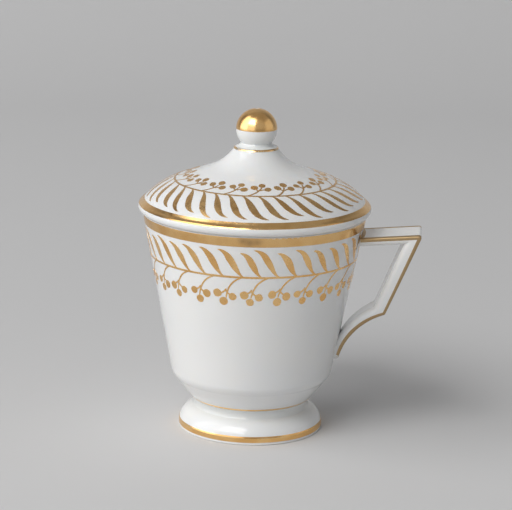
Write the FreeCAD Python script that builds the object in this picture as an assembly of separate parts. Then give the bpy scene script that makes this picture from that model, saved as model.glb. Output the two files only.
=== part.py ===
# A covered custard cup in porcelain: a flaring cup on a spreading foot, with an angular strap handle,
# and a loose domed lid with a ball knob, located in the cup's mouth by a flange.
# Millimetres, +Z up. The origin is the centre of the foot's standing plane, the axis of the cup is Z
# and the handle points along +X.
import FreeCAD, Part
import math
import os

V = FreeCAD.Vector
UP = V(0, 0, 1)
ORIGIN = V(0, 0, 0)

# Foot: an upright edge, a rounded shoulder and a hollow waist, from the table up
foot_radius = 20.1
foot_edge_rounding = 0.3
foot_edge_rise = 2.0
foot_shoulder_rise = 4.3
foot_shoulder_radius = 16.3
foot_shoulder_bulge = 0.66
waist_rise = 2.75
waist_radius = 15.95

# Foot recess: the hollow under the foot, inside the ring it stands on
foot_ring_width = 2.7
recess_depth = 5.0
recess_top_radius = 12.6
recess_corner_rounding = 1.5

# Bowl: a faceted hip that leaves the waist, a rounded heel, and the straight flaring wall
bowl_base_radius = 16.95
hip_rise = 5.35
hip_inset = 1.5
hip_bulge = 0.12
heel_rise = 2.9
heel_radius = 22.6
heel_bulge = 0.3
wall_rise = 44.1
rim_radius = 30.98

# Inside of the cup
wall_thickness = 2.3
floor_thickness = 3.4
inside_corner_radius = 15.0
rim_rounding = 0.7

# Lid, from its seat on the rim up: the rounded edge, the convex shoulder, the slope and the sweep
lid_overhang = 1.22
lid_edge_rise = 2.9
lid_edge_lean = 1.0
lid_shoulder_rise = 6.1
lid_shoulder_run = 8.9
lid_shoulder_bulge = 0.65
lid_slope_rise = 3.25
lid_slope_run = 8.8
lid_sweep_rise = 5.45
lid_sweep_hollow = 0.72
lid_thickness = 2.7

# Flange under the lid, which drops into the mouth of the cup
flange_depth = 3.2
flange_thickness = 2.2
flange_rounding = 0.6
flange_play = 0.5

# Inside of the lid: a dome under the shoulder and the slope, rising gently to the middle
dome_shoulder_rise = 2.6
dome_shoulder_bulge = 0.45
dome_crown_rise = 1.6

# Knob: a thin collar, a hollow neck and a ball
collar_radius = 6.2
collar_edge_rounding = 0.7
neck_radius = 4.25
neck_rise = 1.05
neck_hollow = 0.2
ball_radius = 5.65

# Strap handle, drawn in the plane through the axis: bar, grip, elbow, and the arm that ends in a tail.
# It reaches out from the rim of the cup, and its elbow and tail stand off the wall beside them
handle_drop = 5.3
handle_reach = 15.6
bar_rise = 1.68
bar_thickness = 2.35
bar_width = 13.4
grip_thickness = 3.6
elbow_drop = 23.2
elbow_standoff = 11.1
elbow_width = 9.8
arm_thickness = 2.65
arm_bulge = 2.65
tail_drop = 14.7
tail_standoff = 1.1
tail_width = 4.2
tail_corner_rounding = 1.89
corner_rounding = 0.7
elbow_rounding = 0.6
inner_elbow_rounding = 2.0
strap_edge_rounding = 0.45
strap_inner_rounding = 1.5

# Heights above the table, summed from the rises above
foot_top = foot_edge_rise + foot_shoulder_rise
bowl_base = foot_top + waist_rise
hip_height = bowl_base + hip_rise
heel_height = hip_height + heel_rise
cup_height = heel_height + wall_rise
floor_height = recess_depth + floor_thickness
shoulder_base = cup_height + lid_edge_rise
slope_base = shoulder_base + lid_shoulder_rise
sweep_base = slope_base + lid_slope_rise
collar_base = sweep_base + lid_sweep_rise
neck_base = collar_base + collar_edge_rounding
ball_base = neck_base + neck_rise

# Radii of the lid, inwards from its rounded edge, which overhangs the rim of the cup
lid_radius = rim_radius + lid_overhang
lid_edge_top_radius = lid_radius - lid_edge_lean
lid_shoulder_radius = lid_edge_top_radius - lid_shoulder_run
lid_slope_radius = lid_shoulder_radius - lid_slope_run

# How far the middle of a quarter circle stands off its chord, for each millimetre of its radius
quarter = 1 - math.sqrt(0.5)

wall_flare = (rim_radius - heel_radius) / wall_rise
wall_across = wall_thickness * math.hypot(1, wall_flare)


def wall_radius(height):
    """Outer radius of the straight wall at a height above the table."""
    return heel_radius + wall_flare * (height - heel_height)


def inside_radius(height):
    """Inner radius of the straight wall at a height above the table."""
    return wall_radius(height) - wall_across


def at(distance, height):
    """A point in the plane of the axis and the handle."""
    return V(distance, 0, height)


def line(start, end):
    return Part.makeLine(start, end)


def arc(start, middle, end):
    return Part.Arc(start, middle, end).toShape()


def curve(start, end, bulge):
    """An arc whose middle stands off its chord by bulge, to the right of the way that it runs."""
    chord = end - start
    right = V(chord.z, 0, -chord.x).normalize()
    return arc(start, (start + end) * 0.5 + right * bulge, end)


def turned(edges):
    """A solid of revolution from the edges of a closed profile, its seam away from the handle."""
    solid = Part.Face(Part.Wire(edges)).revolve(ORIGIN, UP, 360)
    solid.rotate(ORIGIN, UP, 180)
    return solid


def edges_through(solid, point):
    """The edges of a solid that pass through a point."""
    spot = Part.Vertex(point)
    return [edge for edge in solid.Edges if edge.distToShape(spot)[0] < 0.001]


def cup_outside():
    """The cup with no hollow and no recess, up to its flat mouth."""
    sole = at(foot_radius - foot_edge_rounding, 0)
    foot_edge = at(foot_radius, foot_edge_rounding)
    foot_band_top = at(foot_radius, foot_edge_rise)
    foot_end = at(foot_shoulder_radius, foot_top)
    waist = at(waist_radius, foot_top + waist_rise / 2)
    base = at(bowl_base_radius, bowl_base)
    hip = at(heel_radius - hip_inset, hip_height)
    heel = at(heel_radius, heel_height)
    lip_start = at(wall_radius(cup_height - rim_rounding), cup_height - rim_rounding)
    lip_end = at(rim_radius - rim_rounding, cup_height)
    return turned([
        line(ORIGIN, sole),
        curve(sole, foot_edge, foot_edge_rounding * quarter),
        line(foot_edge, foot_band_top),
        curve(foot_band_top, foot_end, foot_shoulder_bulge),
        arc(foot_end, waist, base),
        curve(base, hip, hip_bulge),
        curve(hip, heel, heel_bulge),
        line(heel, lip_start),
        curve(lip_start, lip_end, rim_rounding * quarter),
        line(lip_end, at(0, cup_height)),
        line(at(0, cup_height), ORIGIN),
    ])


def cup_hollow():
    """The space inside the cup: a flaring well with a rounded floor and a softened mouth."""
    floor_radius = inside_radius(floor_height)
    mouth_radius = inside_radius(cup_height)
    well = turned([
        line(at(0, floor_height), at(floor_radius, floor_height)),
        line(at(floor_radius, floor_height), at(mouth_radius, cup_height)),
        line(at(mouth_radius, cup_height), at(0, cup_height)),
        line(at(0, cup_height), at(0, floor_height)),
    ])
    corner = at(-floor_radius, floor_height)
    well = well.makeFillet(inside_corner_radius, [e for e in edges_through(well, corner) if e.Closed])
    lip_start = at(inside_radius(cup_height - rim_rounding), cup_height - rim_rounding)
    lip_end = at(mouth_radius + rim_rounding, cup_height)
    softening = turned([
        line(at(0, lip_start.z), lip_start),
        curve(lip_start, lip_end, -rim_rounding * quarter),
        line(lip_end, at(0, cup_height)),
        line(at(0, cup_height), at(0, lip_start.z)),
    ])
    return well.fuse(softening)


def foot_recess():
    """The hollow under the foot, narrowing upwards to a flat roof."""
    ring_inside = foot_radius - foot_ring_width
    recess = turned([
        line(ORIGIN, at(ring_inside, 0)),
        line(at(ring_inside, 0), at(recess_top_radius, recess_depth)),
        line(at(recess_top_radius, recess_depth), at(0, recess_depth)),
        line(at(0, recess_depth), ORIGIN),
    ])
    corner = at(-recess_top_radius, recess_depth)
    return recess.makeFillet(recess_corner_rounding, [e for e in edges_through(recess, corner) if e.Closed])


def inner_corner(corner, along_a, thickness_a, along_b, thickness_b):
    """The inside corner of a strap that turns at corner, from its two directions and thicknesses."""
    a = V(along_a).normalize()
    b = V(along_b).normalize()
    sine = math.sin(a.getAngle(b))
    return corner + a * (thickness_b / sine) + b * (thickness_a / sine)


def plate_of(outline):
    """A plate of the handle's side view, wider than its bar."""
    plate = Part.Face(Part.Wire(outline)).extrude(V(0, 2 * bar_width, 0))
    plate.translate(V(0, -bar_width, 0))
    return plate


def strap_side():
    """The side view of the handle, through the wall at both roots, and of the gap from it to the axis."""
    bar_height = cup_height - handle_drop
    root = at(wall_radius(bar_height) - wall_thickness, bar_height)
    corner = at(rim_radius + handle_reach, bar_height + bar_rise)
    elbow_height = corner.z - elbow_drop
    elbow = at(wall_radius(elbow_height) + elbow_standoff, elbow_height)
    tail_height = elbow_height - tail_drop
    tail = at(wall_radius(tail_height) + tail_standoff, tail_height)

    arm_outer = curve(elbow, tail, arm_bulge)
    arm_centre = arm_outer.Curve.Center
    arm_leaves = arm_outer.tangentAt(arm_outer.FirstParameter)
    arm_middle = arm_outer.valueAt((arm_outer.FirstParameter + arm_outer.LastParameter) / 2)
    thicker = (arm_outer.Curve.Radius + arm_thickness) / arm_outer.Curve.Radius
    inner_middle = arm_centre + (arm_middle - arm_centre) * thicker
    inner_tail = arm_centre + (tail - arm_centre) * thicker

    inner_top = inner_corner(corner, root - corner, bar_thickness, elbow - corner, grip_thickness)
    inner_elbow = inner_corner(elbow, corner - elbow, grip_thickness, arm_leaves, arm_thickness)
    along_bar = (corner - root).normalize()
    root_under = root + V(along_bar.z, 0, -along_bar.x) * bar_thickness

    inside = [
        arc(inner_tail, inner_middle, inner_elbow),
        line(inner_elbow, inner_top),
        line(inner_top, root_under),
    ]
    strap = [
        line(root, corner),
        line(corner, elbow),
        arm_outer,
        line(tail, inner_tail),
    ]
    to_axis = [
        line(root_under, at(0, root_under.z)),
        line(at(0, root_under.z), at(0, inner_tail.z)),
        line(at(0, inner_tail.z), inner_tail),
    ]
    plate = plate_of(strap + inside + [line(root_under, root)])
    gap = plate_of(inside + to_axis)
    turns = [(corner, corner_rounding), (elbow, elbow_rounding), (inner_elbow, inner_elbow_rounding)]
    for point, rounding in turns:
        plate = plate.makeFillet(rounding, edges_through(plate, point))
    return plate, gap, corner, elbow, inner_tail


def strap_handle():
    """The whole strap: its side view, narrowed from the bar down to the tongue that ends the tail."""
    plate, gap, corner, elbow, tongue = strap_side()
    bar_side, elbow_side, tongue_side = [
        V(0, width / 2, point.z)
        for width, point in ((bar_width, corner), (elbow_width, elbow), (tail_width, tongue))]

    def mirrored(point):
        return V(0, -point.y, point.z)

    outline = Part.Wire([
        arc(bar_side, elbow_side, tongue_side),
        line(tongue_side, mirrored(tongue_side)),
        arc(mirrored(tongue_side), mirrored(elbow_side), mirrored(bar_side)),
        line(mirrored(bar_side), bar_side),
    ])
    front_view = Part.Face(outline).extrude(V(corner.x + bar_width, 0, 0))
    tongue_edges = [e for p in (tongue_side, mirrored(tongue_side)) for e in edges_through(front_view, p)
                    if e.BoundBox.XLength > corner.x]
    with_tongue = front_view.makeFillet(tail_corner_rounding, tongue_edges)

    def arrises(shape, on_gap):
        """The long edges outside the wall, next to the gap or away from it, without those of the tongue."""
        reach_of_gap = strap_inner_rounding + strap_edge_rounding
        found = []
        for edge in shape.Edges:
            middle = edge.CenterOfMass
            outside = math.hypot(middle.x, middle.y) > wall_radius(middle.z)
            on_tongue = edge.Curve.TypeId == "Part::GeomLine" and middle.z < tongue.z + tail_width
            beside_gap = edge.distToShape(gap)[0] < reach_of_gap
            if outside and abs(middle.y) > strap_edge_rounding and not on_tongue and beside_gap == on_gap:
                found.append(edge)
        return found

    strap = plate.common(front_view)
    strap = strap.makeFillet(strap_inner_rounding, arrises(strap, True)).common(with_tongue)
    return strap.makeFillet(strap_edge_rounding, arrises(strap, False))


def make_cup():
    body = cup_outside().fuse(strap_handle())
    body = body.cut(cup_hollow()).cut(foot_recess())
    return body.removeSplitter()


flange_base = cup_height - flange_depth
flange_radius = inside_radius(flange_base) - flange_play
flange_inside = flange_radius - flange_thickness


def lid_outside():
    """The lid with no hollow, from the lower edge of its flange to the top of the ball."""
    flange_foot = at(flange_radius - flange_rounding, flange_base)
    flange_side = at(flange_radius, flange_base + flange_rounding)
    seat = at(flange_radius, cup_height)
    edge_foot = at(rim_radius, cup_height)
    edge_out = at(lid_radius, cup_height + lid_edge_rise / 2)
    edge_top = at(lid_edge_top_radius, shoulder_base)
    shoulder = at(lid_shoulder_radius, slope_base)
    slope = at(lid_slope_radius, sweep_base)
    collar = at(collar_radius, collar_base)
    collar_top = at(collar_radius - collar_edge_rounding, neck_base)
    neck = at(neck_radius, ball_base)
    ball_turn = math.acos(neck_radius / ball_radius)
    ball_centre = ball_base + ball_radius * math.sin(ball_turn)

    def on_ball(angle):
        return at(ball_radius * math.cos(angle), ball_centre + ball_radius * math.sin(angle))

    crown = at(0, ball_centre + ball_radius)
    return turned([
        line(at(0, flange_base), flange_foot),
        curve(flange_foot, flange_side, flange_rounding * quarter),
        line(flange_side, seat),
        line(seat, edge_foot),
        arc(edge_foot, edge_out, edge_top),
        curve(edge_top, shoulder, lid_shoulder_bulge),
        line(shoulder, slope),
        curve(slope, collar, -lid_sweep_hollow),
        curve(collar, collar_top, collar_edge_rounding * quarter),
        curve(collar_top, neck, -neck_hollow),
        arc(neck, on_ball(0), crown),
        line(crown, at(0, flange_base)),
    ])


def lid_hollow():
    """The space inside the lid, open at the flange, whose roof follows the slope outside."""
    slope_normal = V(lid_slope_rise, 0, lid_shoulder_radius - lid_slope_radius).normalize()
    under_shoulder = at(lid_shoulder_radius, slope_base) - slope_normal * lid_thickness
    under_slope = at(lid_slope_radius, sweep_base) - slope_normal * lid_thickness
    flange_foot = at(flange_inside + flange_rounding, flange_base)
    flange_side = at(flange_inside, flange_base + flange_rounding)
    spring = at(flange_inside, under_shoulder.z - dome_shoulder_rise)
    crown = at(0, under_slope.z + dome_crown_rise)
    crown_radius = (under_slope.x ** 2 + dome_crown_rise ** 2) / (2 * dome_crown_rise)
    half_turn = math.asin(under_slope.x / crown_radius) / 2
    crown_middle = crown + at(crown_radius * math.sin(half_turn), crown_radius * (math.cos(half_turn) - 1))
    return turned([
        line(at(0, flange_base), flange_foot),
        curve(flange_foot, flange_side, -flange_rounding * quarter),
        line(flange_side, spring),
        curve(spring, under_shoulder, dome_shoulder_bulge),
        line(under_shoulder, under_slope),
        arc(under_slope, crown_middle, crown),
        line(crown, at(0, flange_base)),
    ])


def make_lid():
    return lid_outside().cut(lid_hollow())


os.makedirs("parts", exist_ok=True)
make_cup().exportStep("parts/cup.step")
make_lid().exportStep("parts/lid.step")
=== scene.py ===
# A covered custard cup: a flaring porcelain cup on a spreading foot with a strap handle, and a loose
# domed lid with a ball knob. Both are glazed white, and their gilding is painted on the glaze.
import math
import bpy
from mathutils import Matrix, Vector
from mathutils.bvhtree import BVHTree


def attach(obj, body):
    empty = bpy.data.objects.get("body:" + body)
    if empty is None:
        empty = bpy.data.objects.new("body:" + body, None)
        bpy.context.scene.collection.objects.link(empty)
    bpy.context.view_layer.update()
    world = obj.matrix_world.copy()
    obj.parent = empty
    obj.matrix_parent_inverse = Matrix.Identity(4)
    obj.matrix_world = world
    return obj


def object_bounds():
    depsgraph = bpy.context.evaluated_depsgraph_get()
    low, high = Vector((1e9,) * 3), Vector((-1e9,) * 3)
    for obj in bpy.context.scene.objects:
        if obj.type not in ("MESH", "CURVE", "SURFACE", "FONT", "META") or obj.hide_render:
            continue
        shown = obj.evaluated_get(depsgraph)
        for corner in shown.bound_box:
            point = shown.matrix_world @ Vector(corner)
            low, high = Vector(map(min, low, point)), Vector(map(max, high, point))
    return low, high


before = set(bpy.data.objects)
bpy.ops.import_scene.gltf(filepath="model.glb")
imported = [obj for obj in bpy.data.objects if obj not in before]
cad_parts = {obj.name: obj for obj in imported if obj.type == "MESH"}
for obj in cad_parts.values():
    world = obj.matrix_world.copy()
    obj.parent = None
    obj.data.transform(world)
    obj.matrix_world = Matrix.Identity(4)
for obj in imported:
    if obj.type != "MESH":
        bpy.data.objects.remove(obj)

cad_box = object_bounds()
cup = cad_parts["cup"]
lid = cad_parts["lid"]


# The cup: thrown and turned in white porcelain, its handle luted on with slip, dipped in a clear gloss
# glaze and fired. The glaze gathers in the hollow over the foot, and the ring it stands on is bare.
MM = 0.001


class Wire:
    """One output of a node. Arithmetic on it adds Math nodes to the output's tree."""

    def __init__(self, output):
        self.output = output

    def other(self, name):
        """Another output of the same node."""
        return Wire(next(s for s in self.output.node.outputs if s.enabled and s.name == name))

    def math(self, operation, *values):
        return put(self.output.id_data, "ShaderNodeMath", {"operation": operation}, values)

    def __add__(self, value):
        return self.math("ADD", self, value)

    def __radd__(self, value):
        return self.math("ADD", value, self)

    def __sub__(self, value):
        return self.math("SUBTRACT", self, value)

    def __rsub__(self, value):
        return self.math("SUBTRACT", value, self)

    def __mul__(self, value):
        return self.math("MULTIPLY", self, value)

    def __rmul__(self, value):
        return self.math("MULTIPLY", value, self)

    def __truediv__(self, value):
        return self.math("DIVIDE", self, value)

    def __pow__(self, value):
        return self.math("POWER", self, value)

    def __neg__(self):
        return self.math("MULTIPLY", self, -1.0)

    def sine(self):
        return self.math("SINE", self)

    def cosine(self):
        return self.math("COSINE", self)

    def absolute(self):
        return self.math("ABSOLUTE", self)

    def square_root(self):
        return self.math("SQRT", self)

    def whole(self):
        return self.math("FLOOR", self)

    def at_most(self, value):
        return self.math("MINIMUM", self, value)


def put(tree, kind, settings=None, sockets=()):
    """Adds a node: its settings first, a ramp's stops too, then its sockets as values or wires."""
    node = tree.nodes.new(kind)
    for name, value in (settings or {}).items():
        if name == "stops":
            while len(node.color_ramp.elements) < len(value):
                node.color_ramp.elements.new(0.5)
            for element, (place, colour) in zip(node.color_ramp.elements, value):
                element.position = place
                element.color = (*colour, 1.0)
        else:
            setattr(node, name, value)
    usable = [s for s in node.inputs if s.enabled]
    for key, value in sockets.items() if isinstance(sockets, dict) else enumerate(sockets):
        socket = usable[key] if isinstance(key, int) else next(s for s in usable if s.name == key)
        for wire in value if isinstance(value, list) else [value]:
            if isinstance(wire, Wire):
                tree.links.new(wire.output, socket)
            else:
                socket.default_value = wire
    return Wire(next((s for s in node.outputs if s.enabled), None))


def mixed(tree, factor, first, second):
    """The first colour, turning into the second where the factor is 1."""
    return put(tree, "ShaderNodeMix", {"data_type": "RGBA"}, {"Factor": factor, "A": first, "B": second})


def noise(tree, place, scale, detail=2.0, roughness=0.5):
    sizes = {"Vector": place, "Scale": scale, "Detail": detail, "Roughness": roughness}
    return put(tree, "ShaderNodeTexNoise", {}, sizes)


def ramp(tree, value, low, high, out_low=0.0, out_high=1.0):
    """Runs from out_low to out_high while the value goes from low to high."""
    sizes = {"Value": value, "From Min": low, "From Max": high, "To Min": out_low, "To Max": out_high}
    return put(tree, "ShaderNodeMapRange", {"interpolation_type": "SMOOTHSTEP"}, sizes)


def finish_of(name, constants):
    """A new material: its tree, its shader's input sockets and the place on the piece."""
    material = bpy.data.materials.new(name)
    material.use_nodes = True
    tree = material.node_tree
    shader = tree.nodes["Principled BSDF"]
    for socket, value in constants.items():
        shader.inputs[socket].default_value = value
    place = put(tree, "ShaderNodeTexCoord").other("Object")
    return material, tree, shader.inputs, place


def glazed_porcelain(name, bare_height, bare_top, pool_height):
    """White porcelain under a clear glaze, bare between two heights and deeper round a third."""
    body, cool = (0.845, 0.845, 0.835, 1), (0.82, 0.83, 0.835, 1)
    pooled, bare = (0.66, 0.70, 0.69, 1), (0.74, 0.71, 0.65, 1)
    speck_colour = (0.30, 0.24, 0.18, 1)
    pool_reach, pool_heart, pool_share = 3.2 * MM, 0.4 * MM, 0.5
    bare_edge, bare_roughness, bare_grain = 0.08 * MM, 0.5, 0.25
    speck_edge, speck_heart, speck_share = 0.030, 0.014, 0.55
    cells_without, cells_with = 0.93, 0.935
    smoothest, roughest, glaze_relief, fine_ripple = 0.045, 0.085, 0.10 * MM, 0.12
    constants = {"IOR": 1.5, "Subsurface Weight": 0.12, "Subsurface Radius": (1.0, 0.8, 0.6),
                 "Subsurface Scale": 1.5 * MM}
    material, tree, shader, place = finish_of(name, constants)
    height = put(tree, "ShaderNodeSeparateXYZ", {}, {"Vector": place}).other("Z")
    clouds = noise(tree, place, scale=28.0, detail=3.0)
    pool = ramp(tree, (height - pool_height).absolute(), pool_reach, pool_heart)
    pool = pool * ramp(tree, noise(tree, place, scale=160.0), 0.2, 0.75, out_low=0.55)
    below_top = ramp(tree, height, bare_top, bare_top - bare_edge)
    in_bare = below_top * ramp(tree, height, bare_height - bare_edge, bare_height)
    cells = put(tree, "ShaderNodeTexVoronoi", {}, {"Vector": place, "Scale": 95.0})
    chance = put(tree, "ShaderNodeSeparateColor", {}, {"Color": cells.other("Color")})
    in_cell = ramp(tree, chance, cells_without, cells_with)
    specks = ramp(tree, cells, speck_edge, speck_heart) * in_cell * speck_share
    colour = mixed(tree, ramp(tree, clouds, 0.35, 0.65), body, cool)
    colour = mixed(tree, pool * pool_share, colour, pooled)
    colour = mixed(tree, specks, colour, speck_colour)
    colour = mixed(tree, in_bare, colour, bare)
    tree.links.new(colour.output, shader["Base Color"])
    gloss = ramp(tree, noise(tree, place, scale=420.0, detail=3.0), 0.3, 0.7, smoothest, roughest)
    tree.links.new((gloss + in_bare * bare_roughness).output, shader["Roughness"])
    ripple = noise(tree, place, scale=75.0) + noise(tree, place, scale=420.0) * fine_ripple
    grain = noise(tree, place, scale=3000.0) * in_bare * bare_grain
    relief = put(tree, "ShaderNodeBump", {}, {"Strength": 1.0, "Distance": glaze_relief,
                 "Height": ripple + grain})
    tree.links.new(relief.output, shader["Normal"])
    return material


under_foot, bare_ring_top, waist = -1.0 * MM, 0.28 * MM, 7.6 * MM
cup.data.materials.clear()
cup.data.materials.append(glazed_porcelain("cup_glaze", under_foot, bare_ring_top, waist))


# The lid: thrown in the same porcelain, with its knob turned on it, and fired on its seat, which is why
# the glaze is wiped off the narrow ring that rests on the cup. Glaze gathers round the knob's neck.
lid_seat, seat_margin, knob_neck = 61.4 * MM, 0.05 * MM, 80.9 * MM
lid.data.materials.clear()
lid.data.materials.append(glazed_porcelain("lid_glaze", lid_seat - seat_margin, lid_seat + seat_margin,
                                           knob_neck))


# The cup's gilt bands: a broad one under the rim, one round the edge of the foot and a line on the
# waist. Each is laid with a loaded brush while the cup turns on a wheel, then fired on the glaze.
weld = 0.001 * MM


def line_through(name, points):
    """A curve object of straight pieces through these points."""
    curve = bpy.data.curves.new(name, "CURVE")
    curve.dimensions = "3D"
    spline = curve.splines.new("POLY")
    spline.points.add(len(points) - 1)
    for point, place in zip(spline.points, points):
        point.co = (*place, 1.0)
    line = bpy.data.objects.new(name, curve)
    bpy.context.scene.collection.objects.link(line)
    return line


def section_line(name, node, from_height):
    """A line up the outside of a turned piece, through the corners of its own facets.

    The lid's dome counts, though it faces up. What only faces up on the cup is its rim or its inside."""
    faces_outside = 0.3
    rings = {}
    for corner, normal in zip(node.data.loops, node.data.corner_normals):
        place = node.data.vertices[corner.vertex_index].co
        radius = math.hypot(place.x, place.y)
        outward = (normal.vector.x * place.x + normal.vector.y * place.y) / max(radius, MM)
        upward = normal.vector.z if node is lid else 0.0
        if place.x <= 0 and place.z > from_height and outward + upward > faces_outside:
            level = round(place.z / MM, 2) * MM
            rings[level] = max(radius, rings.get(level, 0.0))
    return line_through(name, [(rings[level], 0.0, level) for level in sorted(rings)])


def length_to(line, height):
    """How far along a section line a height is reached."""
    points = [point.co.xyz for point in line.data.splines[0].points]
    length = 0.0
    for low, high in zip(points, points[1:]):
        if high.z >= height:
            return length + (high - low).length * (height - low.z) / (high.z - low.z)
        length += (high - low).length
    return length


def geometry_tree(name, inputs):
    """A new Geometry Nodes tree with these named inputs, and a wire from each of them."""
    kinds = {float: "NodeSocketFloat", int: "NodeSocketInt", "object": "NodeSocketObject",
             "material": "NodeSocketMaterial"}
    tree = bpy.data.node_groups.new(name, "GeometryNodeTree")
    tree.interface.new_socket("Geometry", in_out="INPUT", socket_type="NodeSocketGeometry")
    tree.interface.new_socket("Geometry", in_out="OUTPUT", socket_type="NodeSocketGeometry")
    for title, kind in inputs.items():
        tree.interface.new_socket(title, in_out="INPUT", socket_type=kinds[kind])
    node = tree.nodes.new("NodeGroupInput")
    return tree, {socket.name: Wire(socket) for socket in node.outputs if socket.name}


def painted_slab(tree, sheet, outward, over_glaze, material):
    """Gives a painted sheet its thickness, from under the glaze to over it, and closes it."""
    under_glaze = 0.075 * MM
    edge_angle = 0.6
    sunk = put(tree, "ShaderNodeVectorMath", {"operation": "SCALE"},
               {"Vector": outward, "Scale": -under_glaze})
    base = put(tree, "GeometryNodeSetPosition", {}, {"Geometry": sheet, "Offset": sunk})
    raised = put(tree, "GeometryNodeExtrudeMesh", {}, {"Mesh": base, "Offset": outward,
                 "Offset Scale": over_glaze + under_glaze, "Individual": False})
    bottom = put(tree, "GeometryNodeFlipFaces", {}, {"Mesh": base})
    whole = put(tree, "GeometryNodeJoinGeometry", {}, {"Geometry": [raised, bottom]})
    whole = put(tree, "GeometryNodeMergeByDistance", {}, {"Geometry": whole, "Distance": weld})
    blunt = put(tree, "FunctionNodeCompare", {"data_type": "FLOAT", "operation": "LESS_THAN"},
                {"A": put(tree, "GeometryNodeInputMeshEdgeAngle"), "B": edge_angle})
    smooth = put(tree, "GeometryNodeSetShadeSmooth", {"domain": "EDGE"},
                 {"Geometry": whole, "Shade Smooth": blunt})
    smooth = put(tree, "GeometryNodeSetShadeSmooth", {"domain": "FACE"},
                 {"Geometry": smooth, "Shade Smooth": True})
    for helper in ("outward", "stroke"):
        smooth = put(tree, "GeometryNodeRemoveAttribute", {}, {"Geometry": smooth, "Name": helper})
    real = put(tree, "GeometryNodeRealizeInstances", {}, {"Geometry": smooth})
    done = put(tree, "GeometryNodeSetMaterial", {}, {"Geometry": real, "Material": material})
    end = tree.nodes.new("NodeGroupOutput")
    tree.links.new(done.output, end.inputs[0])


def laid_on_section(tree, sheet, section, angle, length):
    """Wraps a flat sheet round the axis: each point at its angle, and its length up the section."""
    line = put(tree, "GeometryNodeObjectInfo", {}, {"Object": section}).other("Geometry")
    sample = put(tree, "GeometryNodeSampleCurve", {"mode": "LENGTH", "data_type": "FLOAT"},
                 {"Curves": line, "Length": length})
    spot = put(tree, "ShaderNodeSeparateXYZ", {}, {"Vector": sample.other("Position")})
    climb = put(tree, "ShaderNodeSeparateXYZ", {}, {"Vector": sample.other("Tangent")})
    across, up = angle.cosine(), angle.sine()
    outward = put(tree, "ShaderNodeCombineXYZ", {}, {"X": climb.other("Z") * across,
                  "Y": climb.other("Z") * up, "Z": -climb})
    stored = put(tree, "GeometryNodeStoreNamedAttribute", {"data_type": "FLOAT_VECTOR", "domain": "POINT"},
                 {"Geometry": sheet, "Name": "outward", "Value": outward})
    place = put(tree, "ShaderNodeCombineXYZ", {}, {"X": spot * across, "Y": spot * up, "Z": spot.other("Z")})
    return put(tree, "GeometryNodeSetPosition", {}, {"Geometry": stored, "Position": place})


def kept_direction(tree):
    """The outward direction that was stored on the sheet."""
    return put(tree, "GeometryNodeInputNamedAttribute", {"data_type": "FLOAT_VECTOR"}, {"Name": "outward"})


def made_with(tree, name, sizes):
    """Runs a tree on an empty mesh with these sizes, and returns the result as a plain mesh object."""
    piece = bpy.data.objects.new(name, bpy.data.meshes.new(name))
    bpy.context.scene.collection.objects.link(piece)
    modifier = piece.modifiers.new(tree.name, "NODES")
    modifier.node_group = tree
    for socket in tree.interface.items_tree:
        if socket.in_out == "INPUT" and socket.name in sizes:
            modifier[socket.identifier] = sizes[socket.name]
    evaluated = piece.evaluated_get(bpy.context.evaluated_depsgraph_get())
    mesh = bpy.data.meshes.new_from_object(evaluated)
    piece.modifiers.clear()
    piece.data = mesh
    return piece


def gilding(name, wear, smooth, rough, relief_depth, fullness=1.0, worn=(0.46, 0.29, 0.14), dark_patches=()):
    """Gold laid with a brush, a little uneven: worn thin in places, and darker brown round some given points
    of the piece.

    Fullness is how much of the gold's own colour shows over the worn one."""
    brown = Vector((*worn, 1))
    bright = brown.lerp(Vector((0.96, 0.62, 0.27, 1)), fullness)
    deep = brown.lerp(Vector((0.87, 0.51, 0.19, 1)), fullness)
    thin_from, thin_to, streak_relief = 0.66, 0.80, 0.15
    thin_brown, thin_dull, thin_rough = 0.7, 0.25, 0.12
    patch_shade, patch_ragged, patch_outside, patch_inside = 0.8, 3.0 * MM, 2.0 * MM, 1.5 * MM
    material, tree, shader, place = finish_of(name, {"IOR": 1.5})
    clouds = noise(tree, place, scale=170.0)
    streaks = noise(tree, place, scale=620.0)
    patches = noise(tree, place, scale=330.0, detail=3.0, roughness=0.6)
    thin = ramp(tree, patches, thin_from - wear, thin_to)
    colour = mixed(tree, ramp(tree, clouds, 0.35, 0.68), bright, deep)
    colour = mixed(tree, thin * thin_brown, colour, brown)
    # Round each given point the gold turns a darker brown, with a ragged edge.
    for point, reach in dark_patches:
        away = put(tree, "ShaderNodeVectorMath", {"operation": "DISTANCE"}, [place, point]).other("Value")
        near = ramp(tree, away + clouds * patch_ragged, reach + patch_outside, reach - patch_inside)
        colour = mixed(tree, near, colour, brown * patch_shade)
    tree.links.new(colour.output, shader["Base Color"])
    tree.links.new((1.0 - thin * thin_dull).output, shader["Metallic"])
    gloss = ramp(tree, streaks, 0.3, 0.7, smooth, rough) + thin * thin_rough
    tree.links.new(gloss.output, shader["Roughness"])
    relief = put(tree, "ShaderNodeBump", {}, {"Strength": 1.0, "Distance": relief_depth,
                 "Height": clouds + streaks * streak_relief})
    tree.links.new(relief.output, shader["Normal"])
    return material


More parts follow.
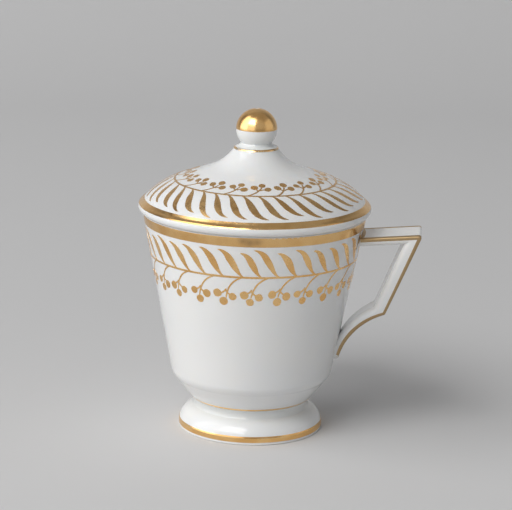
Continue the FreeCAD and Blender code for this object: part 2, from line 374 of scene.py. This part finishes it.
def band_tree():
    """A turned band between two lengths up a section, its edges a little uneven."""
    tree, given = geometry_tree("turned_band", {
        "Section": "object", "From": float, "To": float, "Over Glaze": float, "Unevenness": float,
        "Rows": int, "Columns": int, "Gold": "material"})
    sheet = put(tree, "GeometryNodeMeshGrid", {}, {"Size X": 1.0, "Size Y": 1.0,
                "Vertices X": given["Columns"], "Vertices Y": given["Rows"]})
    flat = put(tree, "ShaderNodeSeparateXYZ", {}, {"Vector": put(tree, "GeometryNodeInputPosition")})
    angle = flat * (2 * math.pi)
    share = flat.other("Y") + 0.5
    ring = put(tree, "ShaderNodeCombineXYZ", {}, {"X": angle.cosine(), "Y": angle.sine(), "Z": share * 7.0})
    waver = (noise(tree, ring, scale=2.6, detail=3.0) - 0.5) * given["Unevenness"]
    length = given["From"] + (given["To"] - given["From"]) * share + waver
    wrapped = laid_on_section(tree, sheet, given["Section"], angle, length)
    closed = put(tree, "GeometryNodeMergeByDistance", {}, {"Geometry": wrapped, "Distance": weld})
    painted_slab(tree, closed, kept_direction(tree), given["Over Glaze"], given["Gold"])
    return tree


turned_band = band_tree()
band_gold = gilding("band_gold", wear=0.0, smooth=0.17, rough=0.25, relief_depth=0.04 * MM)
# The rim band's gold is darker brown round three given points at its front.
patched_band_gold = gilding("patched_band_gold", wear=0.04, smooth=0.18, rough=0.27,
                           relief_depth=0.04 * MM, fullness=0.85, dark_patches=[
    ((-0.8 * MM, -30.7 * MM, 60.0 * MM), 1.6 * MM), ((1.0 * MM, -30.6 * MM, 59.6 * MM), 1.9 * MM),
    ((3.0 * MM, -30.5 * MM, 59.8 * MM), 1.6 * MM)])
cup_section = section_line("cup_section", cup, 0.05 * MM)


def add_band(name, section, low, high, gold, over_glaze=0.024 * MM, unevenness=0.12 * MM, row=0.35 * MM):
    """Lays a band between two heights on the piece that the section belongs to."""
    start, end = length_to(section, low), length_to(section, high)
    rows = max(2, round((end - start) / row) + 1)
    band = made_with(turned_band, name, {
        "Section": section, "From": start, "To": end, "Over Glaze": over_glaze,
        "Unevenness": unevenness, "Rows": rows, "Columns": 241, "Gold": gold})
    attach(band, "root")


add_band("cup_rim_band", cup_section, low=58.4 * MM, high=61.0 * MM, gold=patched_band_gold)
add_band("cup_foot_band", cup_section, low=0.78 * MM, high=2.45 * MM, gold=band_gold)
add_band("cup_waist_line", cup_section, low=8.75 * MM, high=9.37 * MM, gold=band_gold)


# The handle's gilding: a line along each outer edge of the strap from the wall to the tip of the tail,
# and one across the top of the bar where it meets the wall, drawn freehand with a fine brush.
def ribbon_tree():
    """A painted ribbon between two edge curves, pressed on to a piece along the ribbon's own normal.

    No point of it goes past the furthest X, so that the paint stays inside the piece's own box."""
    tree, given = geometry_tree("painted_ribbon", {
        "First Edge": "object", "Second Edge": "object", "Surface": "object", "Reach": float,
        "Over Glaze": float, "Furthest X": float, "Points": int, "Rows": int, "Gold": "material"})
    sheet = put(tree, "GeometryNodeMeshGrid", {}, {"Size X": 1.0, "Size Y": 1.0,
                "Vertices X": given["Points"], "Vertices Y": given["Rows"]})
    flat = put(tree, "ShaderNodeSeparateXYZ", {}, {"Vector": put(tree, "GeometryNodeInputPosition")})
    number = (flat + 0.5) * (given["Points"] - 1.0) + 0.5
    ends = []
    for edge in ("First Edge", "Second Edge"):
        curve = put(tree, "GeometryNodeObjectInfo", {}, {"Object": given[edge]}).other("Geometry")
        ends.append(put(tree, "GeometryNodeSampleIndex", {"data_type": "FLOAT_VECTOR", "domain": "POINT"},
                    {"Geometry": curve, "Value": put(tree, "GeometryNodeInputPosition"),
                     "Index": number.whole()}))
    between = put(tree, "ShaderNodeMix", {"data_type": "VECTOR"},
                  {"Factor": flat.other("Y") + 0.5, "A": ends[0], "B": ends[1]})
    ruled = put(tree, "GeometryNodeSetPosition", {}, {"Geometry": sheet, "Position": between})
    ruled = put(tree, "GeometryNodeStoreNamedAttribute", {"data_type": "FLOAT_VECTOR", "domain": "POINT"},
                {"Geometry": ruled, "Name": "outward", "Value": put(tree, "GeometryNodeInputNormal")})
    outward = kept_direction(tree)
    target = put(tree, "GeometryNodeObjectInfo", {}, {"Object": given["Surface"]}).other("Geometry")
    lift = put(tree, "ShaderNodeVectorMath", {"operation": "SCALE"},
               {"Vector": outward, "Scale": given["Reach"]})
    above = put(tree, "ShaderNodeVectorMath", {"operation": "ADD"},
                [put(tree, "GeometryNodeInputPosition"), lift])
    inward = put(tree, "ShaderNodeVectorMath", {"operation": "SCALE"}, {"Vector": outward, "Scale": -1.0})
    hit = put(tree, "GeometryNodeRaycast", {}, {"Target Geometry": target, "Source Position": above,
              "Ray Direction": inward, "Ray Length": given["Reach"] * 2.0})
    pressed = put(tree, "GeometryNodeSetPosition", {}, {"Geometry": ruled, "Selection": hit,
                  "Position": hit.other("Hit Position")})
    spot = put(tree, "ShaderNodeSeparateXYZ", {}, {"Vector": put(tree, "GeometryNodeInputPosition")})
    within = put(tree, "ShaderNodeCombineXYZ", {}, {"X": spot.at_most(given["Furthest X"]),
                 "Y": spot.other("Y"), "Z": spot.other("Z")})
    pressed = put(tree, "GeometryNodeSetPosition", {}, {"Geometry": pressed, "Position": within})
    painted_slab(tree, pressed, kept_direction(tree), given["Over Glaze"], given["Gold"])
    return tree


painted_ribbon = ribbon_tree()
# The lines' gold is browner and duller than the bands': thin worn gold, and partly a painted dark reflection
# along the strap's edges.
line_gold = gilding("line_gold", wear=0.15, smooth=0.42, rough=0.52, relief_depth=0.02 * MM,
                    fullness=0.15, worn=(0.38, 0.28, 0.16))


def add_ribbon(name, first, second, rows, reach):
    """Paints the cup between two rows of points that lie no further than this from its surface."""
    edges = [line_through(name + "_first", first), line_through(name + "_second", second)]
    over_glaze = 0.022 * MM
    ribbon = made_with(painted_ribbon, name, {
        "First Edge": edges[0], "Second Edge": edges[1], "Surface": cup, "Reach": reach,
        "Over Glaze": over_glaze, "Furthest X": cad_box[1][0] - over_glaze,
        "Points": len(first), "Rows": rows, "Gold": line_gold})
    for edge in edges:
        bpy.data.objects.remove(edge)
    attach(ribbon, "root")


# The strap's outer outline, seen from the side: a straight bar, a straight grip and a hollow arm, with
# a small rounding at both corners. The line's inner edge runs inside it, mitred at the corners.
bar_root, bar_corner = Vector((29.5, 56.26)) * MM, Vector((46.58, 57.78)) * MM
elbow, arm_tip = Vector((36.98, 34.58)) * MM, Vector((24.55, 21.1)) * MM
corner_round, elbow_round, arm_hollow = 0.7 * MM, 0.6 * MM, 2.55 * MM
height_on_bar, height_at_elbow, height_at_tip = 1.0 * MM, 0.8 * MM, 0.9 * MM
line_on_outer_face, least_width_left = 1.5 * MM, 0.4
bar_steps, corner_steps, grip_steps, elbow_steps, arm_steps = 24, 10, 36, 6, 30
arm_start = 0.03


def left_of(direction):
    """A unit step to the left of this direction, which is outwards as the outline runs."""
    return Vector((-direction.y, direction.x)).normalized()


def fan(corner, first_out, second_out, rounding, depth, steps):
    """Pairs round a rounded corner between two faces: points on the rounding, and one mitred point."""
    mitre = (first_out + second_out) / (1 + first_out.dot(second_out))
    centre = corner - mitre * rounding
    turn = -first_out.angle_signed(second_out)
    outward = [Matrix.Rotation(turn * step / steps, 2) @ first_out for step in range(steps + 1)]
    return [(centre + out * rounding, corner - mitre * depth) for out in outward]


def straight(start, end, steps):
    """Pairs spaced evenly between two pairs, without either of them."""
    shares = [step / steps for step in range(1, steps)]
    return [(start[0].lerp(end[0], share), start[1].lerp(end[1], share)) for share in shares]


arm_across = arm_tip - elbow
arm_radius = (arm_across.length ** 2 / 4 + arm_hollow ** 2) / (2 * arm_hollow)
arm_centre = (elbow + arm_tip) / 2 + left_of(arm_across) * (arm_radius - arm_hollow)
arm_sweep = 2 * math.asin(arm_across.length / 2 / arm_radius)
bar_out, grip_out = left_of(bar_corner - bar_root), left_of(elbow - bar_corner)
arm_out = (arm_centre - elbow).normalized()
root_pair = (bar_root, bar_root - bar_out * height_on_bar)
at_corner = fan(bar_corner, bar_out, grip_out, corner_round, height_on_bar, corner_steps)
at_elbow = fan(elbow, grip_out, arm_out, elbow_round, height_at_elbow, elbow_steps)
along_arm = []
for share in [arm_start + (1 - arm_start) * step / arm_steps for step in range(arm_steps + 1)]:
    spoke = Matrix.Rotation(arm_sweep * share, 2) @ (elbow - arm_centre)
    depth = height_at_elbow * (1 - share) + height_at_tip * share
    along_arm.append((arm_centre + spoke, arm_centre + spoke + spoke.normalized() * depth))
pairs = ([root_pair] + straight(root_pair, at_corner[0], bar_steps) + at_corner
         + straight(at_corner[-1], at_elbow[0], grip_steps) + at_elbow + along_arm)

cup_surface = BVHTree.FromObject(cup, bpy.context.evaluated_depsgraph_get())
beside_handle = 20 * MM
for name, side in (("front", -1.0), ("back", 1.0)):
    on_side, on_outer = [], []
    for place, inner in pairs:
        start = Vector((inner.x, side * beside_handle, inner.y))
        half_width = abs(cup_surface.ray_cast(start, Vector((0.0, -side, 0.0)))[0].y)
        on_side.append((inner.x, side * half_width, inner.y))
        ends_at = max(half_width - line_on_outer_face, least_width_left * half_width)
        on_outer.append((place.x, side * ends_at, place.y))
    first, second = (on_side, on_outer) if side < 0 else (on_outer, on_side)
    add_ribbon(f"handle_{name}_line", first, second, rows=19, reach=2 * MM)

# Round the bar's root the line runs over the top, and down the wall on both sides.
root_half_width, root_line, inset, overlap = 6.7 * MM, 0.9 * MM, 0.3 * MM, 0.1 * MM
wall_at_bar, wall_lean, bar_top = 30.0 * MM, 0.19, 56.35 * MM
dab_low, dab_height = 53.4 * MM, 5.1 * MM
root_steps, dab_steps = 24, 16
near_wall, off_wall = [], []
for share in [step / root_steps * 2 - 1 for step in range(root_steps + 1)]:
    y = share * (root_half_width - inset)
    x = math.sqrt(wall_at_bar ** 2 - y ** 2)
    near_wall.append((x - overlap, y, bar_top))
    off_wall.append((x + root_line, y, bar_top))
add_ribbon("handle_root_line", off_wall, near_wall, rows=4, reach=0.5 * MM)
for name, side in (("front", -1.0), ("back", 1.0)):
    edges = []
    for across in (root_half_width - overlap, root_half_width + root_line):
        places = []
        for share in [step / dab_steps for step in range(dab_steps + 1)]:
            z = dab_low + dab_height * share
            radius = wall_at_bar + (z - bar_top) * wall_lean
            places.append((math.sqrt(radius ** 2 - across ** 2), side * across, z))
        edges.append(places)
    first, second = edges if side < 0 else edges[::-1]
    add_ribbon(f"handle_root_{name}_dab", first, second, rows=4, reach=0.5 * MM)


# The lid's gilding: a band over its rounded edge, a line round the knob's collar, and the upper half
# of the knob gilt solid, laid and fired as on the cup.
lid_section = section_line("lid_section", lid, 61.45 * MM)
add_band("lid_rim_band", lid_section, low=63.58 * MM, high=65.07 * MM, gold=band_gold)
add_band("lid_collar_line", lid_section, low=79.2 * MM, high=79.75 * MM, gold=band_gold)
knob_gold = gilding("knob_gold", wear=-0.02, smooth=0.20, rough=0.26, relief_depth=0.03 * MM)
add_band("knob_cap", lid_section, low=84.65 * MM, high=90.22 * MM, gold=knob_gold, unevenness=0.2 * MM)


# The cup's border: a thin stem line with leaves above it and sprigs of three berries hanging from it,
# each leaf one press and sweep of the brush and each berry one dot, in gold fired on the glaze.
def scattered(tree, given, sheet):
    """A copy of the sheet for each stroke, the stroke's number, and a draw of chance for each stroke."""
    spots = put(tree, "GeometryNodePoints", {}, {"Count": given["Count"]})
    number = put(tree, "GeometryNodeInputIndex")
    spots = put(tree, "GeometryNodeStoreNamedAttribute", {"data_type": "FLOAT", "domain": "POINT"},
                {"Geometry": spots, "Name": "stroke", "Value": number})
    copies = put(tree, "GeometryNodeInstanceOnPoints", {}, {"Points": spots, "Instance": sheet})
    copies = put(tree, "GeometryNodeRealizeInstances", {}, {"Geometry": copies})
    stroke = put(tree, "GeometryNodeInputNamedAttribute", {"data_type": "FLOAT"}, {"Name": "stroke"})

    def chance(spread, channel, least=None):
        """A random number for each stroke, from minus the spread, or the least if given, to the spread."""
        low = -spread if least is None else least
        return put(tree, "FunctionNodeRandomValue", {"data_type": "FLOAT"},
                   {"Min": low, "Max": spread, "ID": stroke, "Seed": given["Seed"] + channel})

    return copies, stroke, chance


def painted_ring(tree, given, copies, place_in_ring, x, y):
    """Wraps the copies and paints them: x runs round the axis, and y along the section from the stem."""
    length = given["Stem"] + y * given["Side"]
    line = put(tree, "GeometryNodeObjectInfo", {}, {"Object": given["Section"]}).other("Geometry")
    here = put(tree, "GeometryNodeSampleCurve", {"mode": "LENGTH", "data_type": "FLOAT"},
               {"Curves": line, "Length": length}).other("Position")
    radius = put(tree, "ShaderNodeSeparateXYZ", {}, {"Vector": here})
    turn = given["Turn"] + place_in_ring / given["Count"] * (2 * math.pi)
    wrapped = laid_on_section(tree, copies, given["Section"], turn + x / radius, length)
    inside_out = put(tree, "FunctionNodeCompare", {"data_type": "FLOAT", "operation": "LESS_THAN"},
                     {"A": given["Side"], "B": 0.0})
    wrapped = put(tree, "GeometryNodeFlipFaces", {}, {"Mesh": wrapped, "Selection": inside_out})
    painted_slab(tree, wrapped, kept_direction(tree), given["Over Glaze"], given["Gold"])


def stroke_tree():
    """Brush strokes round a ring: each follows a cubic curve in flat millimetres, then is wrapped."""
    tree, given = geometry_tree("brush_strokes", {
        "Section": "object", "Stem": float, "Side": float, "Count": int, "Turn": float,
        "Start X": float, "Start Y": float, "First X": float, "First Y": float,
        "Second X": float, "Second Y": float, "End X": float, "End Y": float,
        "Width": float, "Thin": float, "Belly": float, "Fullness": float, "Unevenness": float,
        "Over Glaze": float, "Seed": int, "Along": int, "Across": int, "Gold": "material"})
    sheet = put(tree, "GeometryNodeMeshGrid", {}, {"Size X": 1.0, "Size Y": 1.0,
                "Vertices X": given["Along"], "Vertices Y": given["Across"]})
    copies, stroke, chance = scattered(tree, given, sheet)
    flat = put(tree, "ShaderNodeSeparateXYZ", {}, {"Vector": put(tree, "GeometryNodeInputPosition")})
    gone = flat + 0.5
    left = 1.0 - gone
    loose = given["Unevenness"]
    reach_spread, lean_spread, width_spread, place_spread = 0.09, 0.45 * MM, 0.14, 0.06
    reach = 1.0 + chance(reach_spread, 1) * loose
    lean = chance(lean_spread, 2) * loose

    def along(axis):
        """Where the stroke's middle line is, between its start and its end."""
        ends = [given[point + axis] for point in ("Start ", "First ", "Second ", "End ")]
        return (left * left * left * ends[0] + left * left * gone * 3.0 * ends[1]
                + left * gone * gone * 3.0 * ends[2] + gone * gone * gone * ends[3])

    def heading(axis):
        """Which way the middle line runs there."""
        ends = [given[point + axis] for point in ("Start ", "First ", "Second ", "End ")]
        steps = [after - before for before, after in zip(ends, ends[1:])]
        return left * left * steps[0] + left * gone * 2.0 * steps[1] + gone * gone * steps[2]

    run, rise = heading("X"), heading("Y")
    size = (run * run + rise * rise).square_root()
    swell = (gone ** given["Belly"] * math.pi).sine().absolute() ** given["Fullness"]
    bristles = put(tree, "ShaderNodeCombineXYZ", {}, {"X": gone * 5.0, "Y": stroke * 3.7,
                   "Z": flat.other("Y")})
    ragged = (noise(tree, bristles, scale=1.0) - 0.5) * 0.5 * loose
    fuller = 1.0 + chance(width_spread, 3) * loose
    width = given["Thin"] + (given["Width"] - given["Thin"]) * swell * fuller
    width = width * (1.0 + ragged) * ramp(tree, gone, 1.0, 0.93, out_low=0.12)
    offset = flat.other("Y") * width
    x = along("X") * reach + lean * gone * gone - offset * rise / size
    y = along("Y") * reach + offset * run / size
    painted_ring(tree, given, copies, stroke + chance(place_spread, 4) * loose, x, y)
    return tree


def dot_tree():
    """Round dots in a ring, each flat circle centred off the stem, then wrapped."""
    tree, given = geometry_tree("brush_dots", {
        "Section": "object", "Stem": float, "Side": float, "Count": int, "Turn": float,
        "X": float, "Y": float, "Diameter": float, "Unevenness": float,
        "Over Glaze": float, "Seed": int, "Corners": int, "Gold": "material"})
    disc = put(tree, "GeometryNodeMeshCircle", {"fill_type": "TRIANGLE_FAN"},
               {"Vertices": given["Corners"], "Radius": 0.5})
    copies, stroke, chance = scattered(tree, given, disc)
    flat = put(tree, "ShaderNodeSeparateXYZ", {}, {"Vector": put(tree, "GeometryNodeInputPosition")})
    loose = given["Unevenness"]
    most_larger, most_smaller, place_spread = 0.08, -0.10, 0.22 * MM
    lump = put(tree, "ShaderNodeCombineXYZ", {}, {"X": flat, "Y": flat.other("Y"), "Z": stroke * 2.3})
    lumpy = (noise(tree, lump, scale=1.6) - 0.5) * 0.5 * loose
    size = given["Diameter"] * (1.0 + chance(most_larger, 1, least=most_smaller) * loose + lumpy)
    x = given["X"] + chance(place_spread, 2) * loose + flat * size
    y = given["Y"] + chance(place_spread, 3) * loose + flat.other("Y") * size
    painted_ring(tree, given, copies, stroke, x, y)
    return tree


brush_strokes = stroke_tree()
brush_dots = dot_tree()
leaf_gold = gilding("leaf_gold", wear=0.06, smooth=0.2, rough=0.3, relief_depth=0.06 * MM)
lid_leaf_gold = gilding("lid_leaf_gold", wear=0.10, smooth=0.22, rough=0.34, relief_depth=0.06 * MM,
                        fullness=0.7)


def curve_sizes(points):
    """The named inputs for a stroke's four points, in flat millimetres from its place on the stem."""
    names = ("Start", "First", "Second", "End")
    return {f"{name} {axis}": value * MM
            for name, point in zip(names, points) for axis, value in zip("XY", point)}


def add_border(name, section, stem_height, side, gold, leaves, sprigs):
    """A stem line, a ring of leaves on one side of it and a ring of berry sprigs on the other."""
    stem = length_to(section, stem_height)
    common = {"Section": section, "Stem": stem, "Side": side, "Unevenness": 1.0, "Gold": gold}
    add_band(name + "_stem", section, stem_height - leaves["stem_half"], stem_height + leaves["stem_half"],
             gold, over_glaze=0.028 * MM, unevenness=0.16 * MM)
    pieces = [made_with(brush_strokes, name + "_leaves", common | curve_sizes(leaves["curve"]) | {
        "Count": leaves["count"], "Turn": leaves["turn"], "Width": leaves["width"], "Thin": 0.36 * MM,
        "Belly": 1.2, "Fullness": 1.6, "Over Glaze": 0.024 * MM, "Seed": 3, "Along": 17, "Across": 5})]
    for number, points in enumerate(sprigs["stalks"]):
        pieces.append(made_with(brush_strokes, f"{name}_stalks_{number + 1}", common | curve_sizes(points) | {
            "Count": sprigs["count"], "Turn": sprigs["turn"], "Width": 0.46 * MM, "Thin": 0.38 * MM,
            "Belly": 1.0, "Fullness": 1.0, "Over Glaze": (0.020 - 0.002 * number) * MM,
            "Unevenness": 0.6, "Seed": 11, "Along": 12 if number == 0 else 7, "Across": 3}))
    for number, (x, y) in enumerate(sprigs["berries"]):
        pieces.append(made_with(brush_dots, f"{name}_berries_{number + 1}", common | {
            "Count": sprigs["count"], "Turn": sprigs["turn"], "X": x * MM, "Y": y * MM,
            "Diameter": sprigs["diameter"], "Over Glaze": 0.022 * MM, "Seed": 20 + number, "Corners": 16}))
    for piece in pieces:
        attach(piece, "root")


# The camera stands this far round from the handle's plane, and so do the strokes that the front shows.
heading_angle = math.radians(4.0)
add_border("cup_border", cup_section, 49.7 * MM, 1.0, leaf_gold,
           {"count": 36, "turn": math.radians(-94.8) + heading_angle, "width": 1.85 * MM,
            "stem_half": 0.27 * MM, "curve": [(0, 0), (-2.6, 0.6), (-3.4, 7.3), (-7.3, 7.5)]},
           {"count": 24, "turn": math.radians(-91.2) + heading_angle, "diameter": 2.25 * MM,
            "stalks": [[(5.1, 0), (3.0, -0.5), (0.6, -2.2), (0.1, -6.6)],
                       [(0.5, -3.4), (0.2, -4.2), (-0.6, -4.5), (-1.3, -4.9)],
                       [(0.4, -3.8), (0.6, -4.6), (1.2, -5.0), (2.0, -5.4)]],
            "berries": [(-1.65, -5.1), (2.3, -5.65), (0.0, -7.3)]})


# The lid's border: the same stem, leaves and berries, with the leaves running out to the rim band and
# the sprigs pointing in to the knob.
add_border("lid_border", lid_section, 70.42 * MM, -1.0, lid_leaf_gold,
           {"count": 36, "turn": math.radians(-89.4) + heading_angle, "width": 1.72 * MM,
            "stem_half": 0.10 * MM, "curve": [(0, 0), (2.7, 0.6), (3.4, 8.0), (8.45, 8.7)]},
           {"count": 19, "turn": math.radians(-84.4) + heading_angle, "diameter": 2.0 * MM,
            "stalks": [[(-4.2, 0), (-2.7, -0.5), (-0.7, -2.0), (0.2, -4.6)],
                       [(-0.9, -2.2), (-1.0, -2.9), (-1.4, -3.4), (-1.9, -3.8)],
                       [(-0.5, -2.6), (-0.1, -3.1), (0.6, -3.2), (1.4, -3.1)]],
            "berries": [(-2.0, -4.1), (1.65, -3.2), (0.25, -5.35)]})

for line in (cup_section, lid_section):
    bpy.data.objects.remove(line)


# The table top and the space behind it: one wide sheet of plain pale paper that lies flat under the cup
# and sweeps up behind it, and keeps the cup's shadow.
def swept_sheet(name, half_width, front, bend_start, bend_radius, top):
    """A sheet that runs back from the front edge, bends up in a quarter circle and stands to its top."""
    steps = 48
    line = [(-front, 0.0)]
    for step in range(steps + 1):
        turn = step / steps * math.pi / 2
        line.append((bend_start + bend_radius * math.sin(turn), bend_radius * (1 - math.cos(turn))))
    line.append((bend_start + bend_radius, top))
    points = [(x, y, z) for y, z in line for x in (-half_width, half_width)]
    faces = [(row, row + 1, row + 3, row + 2) for row in range(0, 2 * len(line) - 2, 2)]
    mesh = bpy.data.meshes.new(name)
    mesh.from_pydata(points, [], faces)
    mesh.transform(Matrix.Rotation(heading_angle, 4, "Z"))
    mesh.shade_smooth()
    sheet = bpy.data.objects.new(name, mesh)
    bpy.context.scene.collection.objects.link(sheet)
    return sheet


def pale_paper():
    """Matt paper with a faint tooth, its colour painted darker towards the back and much darker up the
    backdrop: painted shade for the light falling off there.
    """
    near, far, high = (0.71, 0.71, 0.715, 1), (0.65, 0.65, 0.655, 1), (0.43, 0.43, 0.435, 1)
    material, tree, shader, place = finish_of("pale_paper", {"Roughness": 0.9, "Specular IOR Level": 0.2})
    spot = put(tree, "ShaderNodeSeparateXYZ", {}, {"Vector": place})
    # Painted shade: the paper darkens towards the back and up the backdrop, standing in for the light falling
    # off there.
    colour = mixed(tree, ramp(tree, spot.other("Y"), -0.25, 0.15), near, far)
    colour = mixed(tree, ramp(tree, spot.other("Z"), 0.2, 1.0), colour, high)
    tree.links.new(colour.output, shader["Base Color"])
    tooth = noise(tree, place, scale=900.0)
    relief = put(tree, "ShaderNodeBump", {}, {"Strength": 0.1, "Distance": 0.05 * MM, "Height": tooth})
    tree.links.new(relief.output, shader["Normal"])
    return material


table_top = swept_sheet("table_top", half_width=3.0, front=3.0, bend_start=0.5, bend_radius=0.6, top=2.5)
table_top.data.materials.append(pale_paper())


# The light of a photographer's table: a soft box high at the front left with dimmer windows below it and
# beside it, a white card upright at the right, a pale wall behind the camera and a dim even room, which
# metal and glaze show a little brighter than it lights.
def upright_lamp(name, azimuth, half_angle, distance, low, high, radiance, colour):
    """A rectangle of light that stands upright and faces the cup. Azimuth is in degrees to the right."""
    turn = math.radians(azimuth) + heading_angle - math.pi / 2
    direction = Vector((math.cos(turn), math.sin(turn), 0.0))
    data = bpy.data.lights.new(name, "AREA")
    data.shape = "RECTANGLE"
    data.size = 2 * distance * math.tan(math.radians(half_angle))
    data.size_y = high - low
    data.energy = radiance * math.pi * data.size * data.size_y
    data.color = colour
    lamp = bpy.data.objects.new(name, data)
    lamp.visible_camera = False
    bpy.context.scene.collection.objects.link(lamp)
    lamp.matrix_world = (Matrix.Translation(direction * distance + Vector((0.0, 0.0, (low + high) / 2)))
                         @ direction.to_track_quat("Z", "Y").to_matrix().to_4x4())


white, warm_white = (1.0, 1.0, 1.0), (1.0, 0.995, 0.985)
upright_lamp("soft_box", -33.0, 23.0, 1.3, low=0.85, high=2.6, radiance=5.1, colour=warm_white)
upright_lamp("low_window", -33.0, 23.0, 1.3, low=0.03, high=0.85, radiance=0.8, colour=warm_white)
upright_lamp("left_window", -80.0, 24.0, 1.3, low=0.03, high=2.45, radiance=1.8, colour=white)
upright_lamp("side_card", 80.0, 28.0, 0.9, low=0.02, high=0.9, radiance=0.33, colour=white)
upright_lamp("front_wall", 20.0, 28.0, 1.5, low=0.3, high=2.6, radiance=0.12, colour=white)
world = bpy.data.worlds.new("room")
world.use_nodes = True
room, room_in_metal = 0.09, 0.30
background = world.node_tree.nodes["Background"].inputs
background["Color"].default_value = (1.0, 1.0, 1.0, 1.0)
in_metal = put(world.node_tree, "ShaderNodeLightPath").other("Is Glossy Ray")
world.node_tree.links.new((in_metal * (room_in_metal - room) + room).output, background["Strength"])
bpy.context.scene.world = world
bpy.context.scene.view_settings.view_transform = "Standard"


# The camera: a long lens at table height plus a little, looking down at the cup by about fourteen
# degrees from in front, with the handle at the right.
camera_distance = 620 * MM
camera_tilt = math.radians(13.7506)
camera_roll = math.radians(1.337)
aim_point = Vector((0.6176 * MM, 0.0, 48.95 * MM))
sensor_width = 36.0
lens_in_pixels, frame_in_pixels = 2232.0, 512.0
data = bpy.data.cameras.new("photo_camera")
data.sensor_width = sensor_width
data.lens = lens_in_pixels / frame_in_pixels * sensor_width
data.clip_start = 10 * MM
camera = bpy.data.objects.new("photo_camera", data)
bpy.context.scene.collection.objects.link(camera)
back = Vector((0.0, -math.cos(camera_tilt), math.sin(camera_tilt))) * camera_distance
around = Matrix.Rotation(heading_angle, 4, "Z")
camera.matrix_world = (around @ Matrix.Translation(aim_point + back)
                       @ Matrix.Rotation(math.pi / 2 - camera_tilt, 4, "X")
                       @ Matrix.Rotation(camera_roll, 4, "Z"))
bpy.context.scene.camera = camera
